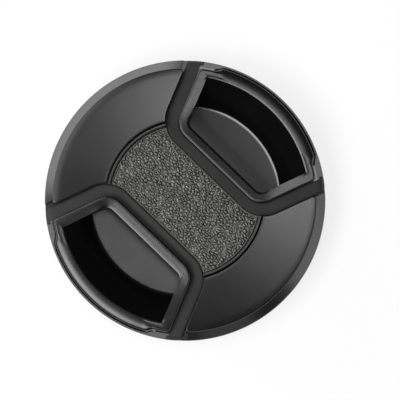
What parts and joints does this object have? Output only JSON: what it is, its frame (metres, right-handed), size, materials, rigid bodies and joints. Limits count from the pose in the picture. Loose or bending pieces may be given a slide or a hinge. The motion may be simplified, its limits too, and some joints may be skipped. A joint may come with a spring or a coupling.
{
  "type": "camera lens cap",
  "caption": "Round black centre-pinch camera lens cap with a grained centre plate, finger pockets in sprung sliding tabs, thread teeth and a flat rear cover.",
  "frame": {"origin": "centre of the cap at its rear plane, the face that looks at the lens", "axes": "+Z out of the front face; X along the pinch direction, through both tabs; Y along the bridge"},
  "size_m": [0.06, 0.06, 0.0086],
  "materials": {
    "satin_abs": "satin moulded black ABS",
    "matte_abs": "fine matte moulded black ABS",
    "grained_abs": "leather-grain moulded black ABS",
    "spring_steel": "bright drawn spring wire"
  },
  "bodies": {
    "cap_body": {"front_body": "satin_abs", "centre_plate": "grained_abs", "rear_cover": "matte_abs", "right_upper_spring": "spring_steel", "right_lower_spring": "spring_steel", "left_upper_spring": "spring_steel", "left_lower_spring": "spring_steel"},
    "right_tab": {"right_pinch_tab": "matte_abs"},
    "left_tab": {"left_pinch_tab": "matte_abs"}
  },
  "joints": [
    {"name": "right_tab_slide", "type": "slide", "parent": "cap_body", "child": "right_tab", "axis": [-1, 0, 0], "range_m": [0, 0.002], "stiffness_N_per_m": 800, "springref_m": -0.003, "deforming": ["right_upper_spring", "right_lower_spring"]},
    {"name": "left_tab_slide", "type": "slide", "parent": "cap_body", "child": "left_tab", "axis": [1, 0, 0], "range_m": [0, 0.002], "stiffness_N_per_m": 800, "springref_m": -0.003, "deforming": ["left_upper_spring", "left_lower_spring"]}
  ]
}
